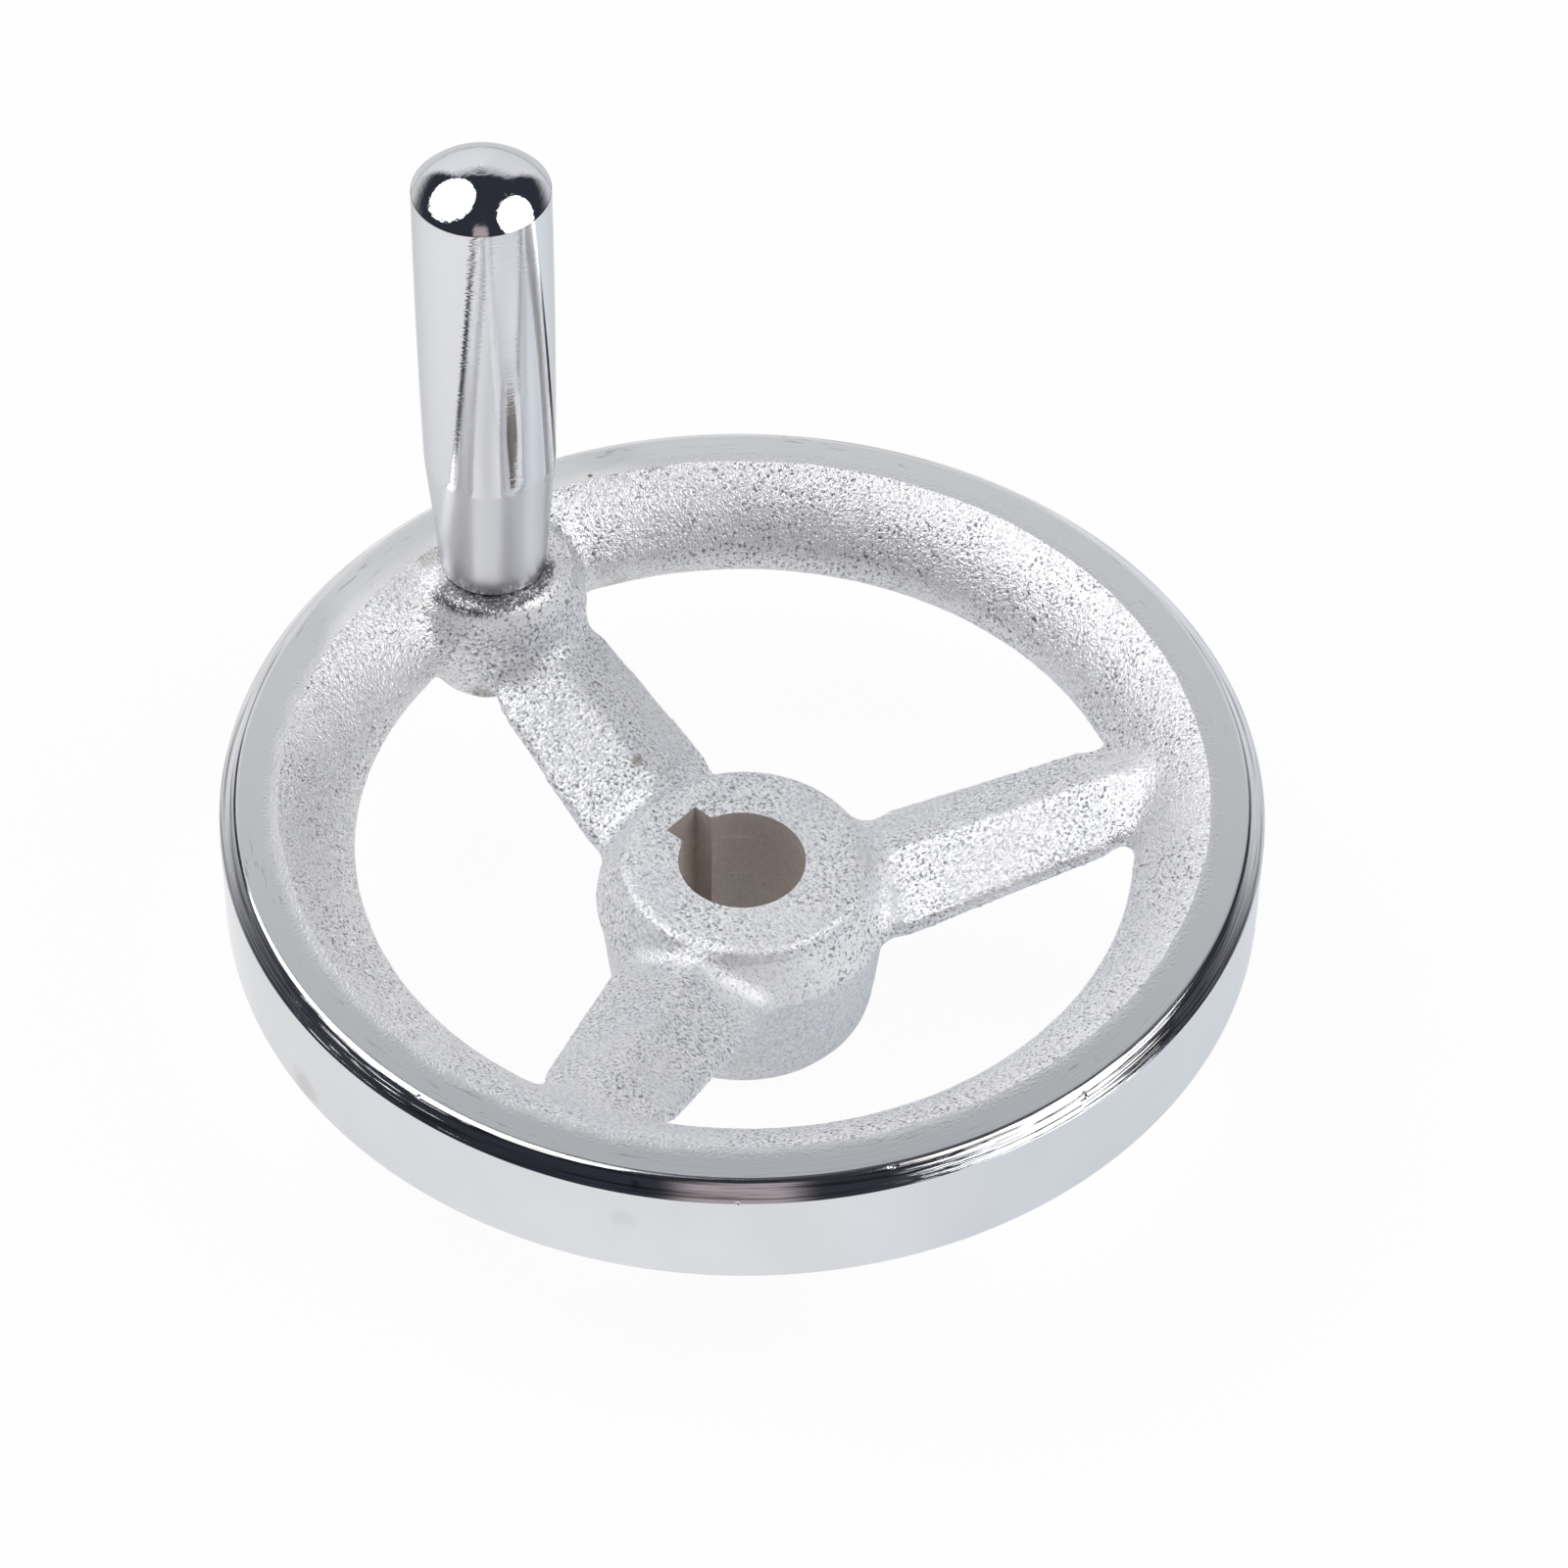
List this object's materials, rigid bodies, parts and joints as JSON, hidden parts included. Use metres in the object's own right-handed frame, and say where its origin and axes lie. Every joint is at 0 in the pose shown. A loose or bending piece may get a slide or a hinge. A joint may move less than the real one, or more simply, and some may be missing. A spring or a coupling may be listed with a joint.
{
  "type": "machine handwheel",
  "caption": "Spoked machine handwheel with a turned rim, a keyed through bore and a revolving handle that stands near the rim.",
  "frame": {"origin": "on the bore's axis at the hub's underside, the face that meets the shaft's shoulder", "axes": "+Z along the bore towards the handle's tip, +X from the bore towards the handle"},
  "size_m": [0.0968, 0.0968, 0.079],
  "materials": {
    "cast_chrome": "chromed casting, sandy as cast, with a turned rim",
    "polished_chrome": "polished chrome over turned steel",
    "bright_steel": "turned, bare",
    "spring_steel": "hardened spring steel, oiled"
  },
  "bodies": {
    "wheel_body": {"wheel": "cast_chrome", "handle_spindle": "bright_steel", "snap_ring": "spring_steel"},
    "grip_body": {"handle_grip": "polished_chrome"}
  },
  "joints": [
    {"name": "grip_spin", "type": "hinge", "parent": "wheel_body", "child": "grip_body", "pos_m": [0.0382, 0, 0.0289], "axis": [0, 0, 1], "continuous": true}
  ]
}
